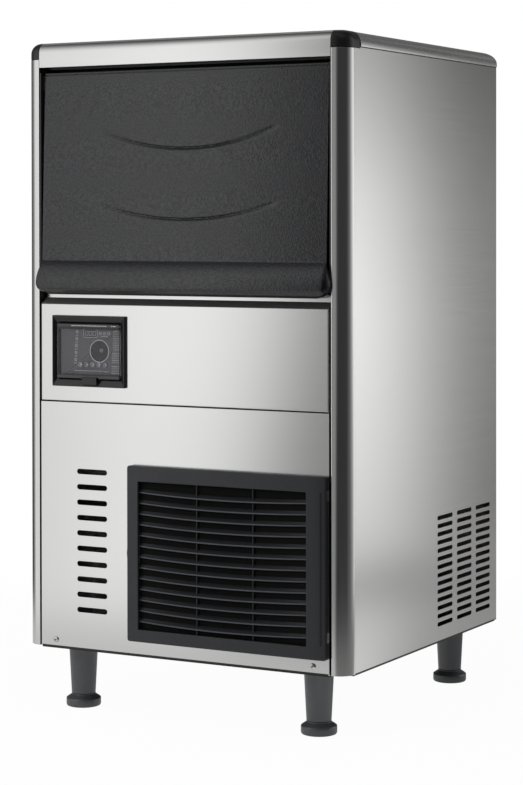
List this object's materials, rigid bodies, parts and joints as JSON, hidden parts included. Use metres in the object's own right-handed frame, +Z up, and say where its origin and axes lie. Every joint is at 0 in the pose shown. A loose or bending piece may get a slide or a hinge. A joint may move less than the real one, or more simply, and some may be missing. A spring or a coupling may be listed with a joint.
{
  "type": "undercounter ice maker",
  "caption": "Undercounter ice maker: steel cabinet on adjustable feet, top-hinged lid over an ice bin, flap over the controls, hinged air grille, freezing and cooling parts inside.",
  "frame": {"origin": "on the floor, at the middle of the width and of the depth, hose fittings and grille included", "axes": "+X to the right as seen from the front, +Y to the back, +Z up; the lid and controls face -Y"},
  "size_m": [0.452, 0.484, 0.83],
  "materials": {
    "steel": "fine vertical brushing",
    "trim_aluminium": "satin anodised",
    "galvanised": "galvanised sheet",
    "lid_plastic": "fine grain, dark grey",
    "black_plastic": "fine grain, black",
    "grille_plastic": "fine grain, charcoal",
    "leg_plastic": "moulded, grey",
    "smoked_plastic": "smoked, clear",
    "membrane": "satin film",
    "button_plastic": "moulded",
    "white_plastic": "moulded, food safe",
    "foam": "rigid foam",
    "copper": "copper, tinned at the cells",
    "black_metal": "black paint",
    "filter_mesh": "woven mesh",
    "screw_steel": "plated",
    "brass": "machined"
  },
  "bodies": {
    "cabinet": {"left_side_panel": "steel", "right_side_panel": "steel", "top_panel": "steel", "control_fascia": "steel", "lower_front_panel": "steel", "front_top_trim": "trim_aluminium", "left_top_trim": "trim_aluminium", "right_top_trim": "trim_aluminium", "left_corner_column": "trim_aluminium", "right_corner_column": "trim_aluminium", "back_panel": "galvanised", "condenser": "galvanised", "fan_shroud": "galvanised", "electrical_box": "galvanised", "left_corner_cap": "black_plastic", "right_corner_cap": "black_plastic", "door_surround": "black_plastic", "control_bezel": "black_plastic", "pump_motor": "black_plastic", "air_duct": "black_plastic", "power_inlet": "black_plastic", "front_left_leg": "leg_plastic", "front_right_leg": "leg_plastic", "rear_left_leg": "leg_plastic", "rear_right_leg": "leg_plastic", "control_membrane": "membrane", "bin_liner": "white_plastic", "water_distributor": "white_plastic", "water_sump": "white_plastic", "float_valve": "white_plastic", "drain_fitting": "white_plastic", "bin_insulation": "foam", "evaporator": "copper", "discharge_pipe": "copper", "suction_pipe": "copper", "filter_drier": "copper", "base_pan": "black_metal", "fan_motor": "black_metal", "compressor": "black_metal", "left_front_screw": "screw_steel", "right_front_screw": "screw_steel", "water_inlet_fitting": "brass"},
    "lid": {"lid_shell": "lid_plastic", "lid_liner": "white_plastic"},
    "grille": {"grille_cover": "grille_plastic", "air_filter": "filter_mesh"},
    "control_flap": {"control_flap": "smoked_plastic"},
    "button_1": {"button_1": "button_plastic"},
    "button_2": {"button_2": "button_plastic"},
    "button_3": {"button_3": "button_plastic"},
    "button_4": {"button_4": "button_plastic"},
    "button_5": {"button_5": "button_plastic"},
    "condenser_fan": {"condenser_fan": "black_plastic"},
    "pump_impeller": {"pump_impeller": "white_plastic"},
    "water_curtain": {"water_curtain": "white_plastic"},
    "float_arm": {"float_arm": "white_plastic"},
    "front_left_foot": {"front_left_foot": "leg_plastic"},
    "front_right_foot": {"front_right_foot": "leg_plastic"},
    "rear_left_foot": {"rear_left_foot": "leg_plastic"},
    "rear_right_foot": {"rear_right_foot": "leg_plastic"}
  },
  "joints": [
    {"name": "lid_hinge", "type": "hinge", "parent": "cabinet", "child": "lid", "pos_m": [0, -0.206, 0.7801], "axis": [-1, 0, 0], "range_deg": [0, 85]},
    {"name": "control_flap_hinge", "type": "hinge", "parent": "cabinet", "child": "control_flap", "pos_m": [-0.1292, -0.2217, 0.479], "axis": [-1, 0, 0], "range_deg": [0, 100]},
    {"name": "grille_hinge", "type": "hinge", "parent": "cabinet", "child": "grille", "pos_m": [0.1977, -0.2229, 0.2055], "axis": [0, 0, 1], "range_deg": [0, 85]},
    {"name": "button_1_push", "type": "slide", "parent": "cabinet", "child": "button_1", "axis": [0, 1, 0], "range_m": [0, 0.0008], "stiffness_N_per_m": 400},
    {"name": "button_2_push", "type": "slide", "parent": "cabinet", "child": "button_2", "axis": [0, 1, 0], "range_m": [0, 0.0008], "stiffness_N_per_m": 400},
    {"name": "button_3_push", "type": "slide", "parent": "cabinet", "child": "button_3", "axis": [0, 1, 0], "range_m": [0, 0.0008], "stiffness_N_per_m": 400},
    {"name": "button_4_push", "type": "slide", "parent": "cabinet", "child": "button_4", "axis": [0, 1, 0], "range_m": [0, 0.0008], "stiffness_N_per_m": 400},
    {"name": "button_5_push", "type": "slide", "parent": "cabinet", "child": "button_5", "axis": [0, 1, 0], "range_m": [0, 0.0008], "stiffness_N_per_m": 400},
    {"name": "condenser_fan_spin", "type": "hinge", "parent": "cabinet", "child": "condenser_fan", "pos_m": [0.07015, -0.146, 0.2055], "axis": [0, 1, 0], "continuous": true},
    {"name": "pump_impeller_spin", "type": "hinge", "parent": "cabinet", "child": "pump_impeller", "pos_m": [0.166, 0.1217, 0.55], "axis": [0, 0, 1], "continuous": true},
    {"name": "water_curtain_swing", "type": "hinge", "parent": "cabinet", "child": "water_curtain", "pos_m": [0, 0.096, 0.747], "axis": [-1, 0, 0], "range_deg": [0, 25]},
    {"name": "float_arm_lift", "type": "hinge", "parent": "cabinet", "child": "float_arm", "pos_m": [-0.109, 0.1217, 0.5783], "axis": [0, -1, 0], "range_deg": [0, 10]},
    {"name": "front_left_foot_height", "type": "slide", "parent": "cabinet", "child": "front_left_foot", "axis": [0, 0, -1], "range_m": [0, 0.02]},
    {"name": "front_right_foot_height", "type": "slide", "parent": "cabinet", "child": "front_right_foot", "axis": [0, 0, -1], "range_m": [0, 0.02]},
    {"name": "rear_left_foot_height", "type": "slide", "parent": "cabinet", "child": "rear_left_foot", "axis": [0, 0, -1], "range_m": [0, 0.02]},
    {"name": "rear_right_foot_height", "type": "slide", "parent": "cabinet", "child": "rear_right_foot", "axis": [0, 0, -1], "range_m": [0, 0.02]}
  ]
}
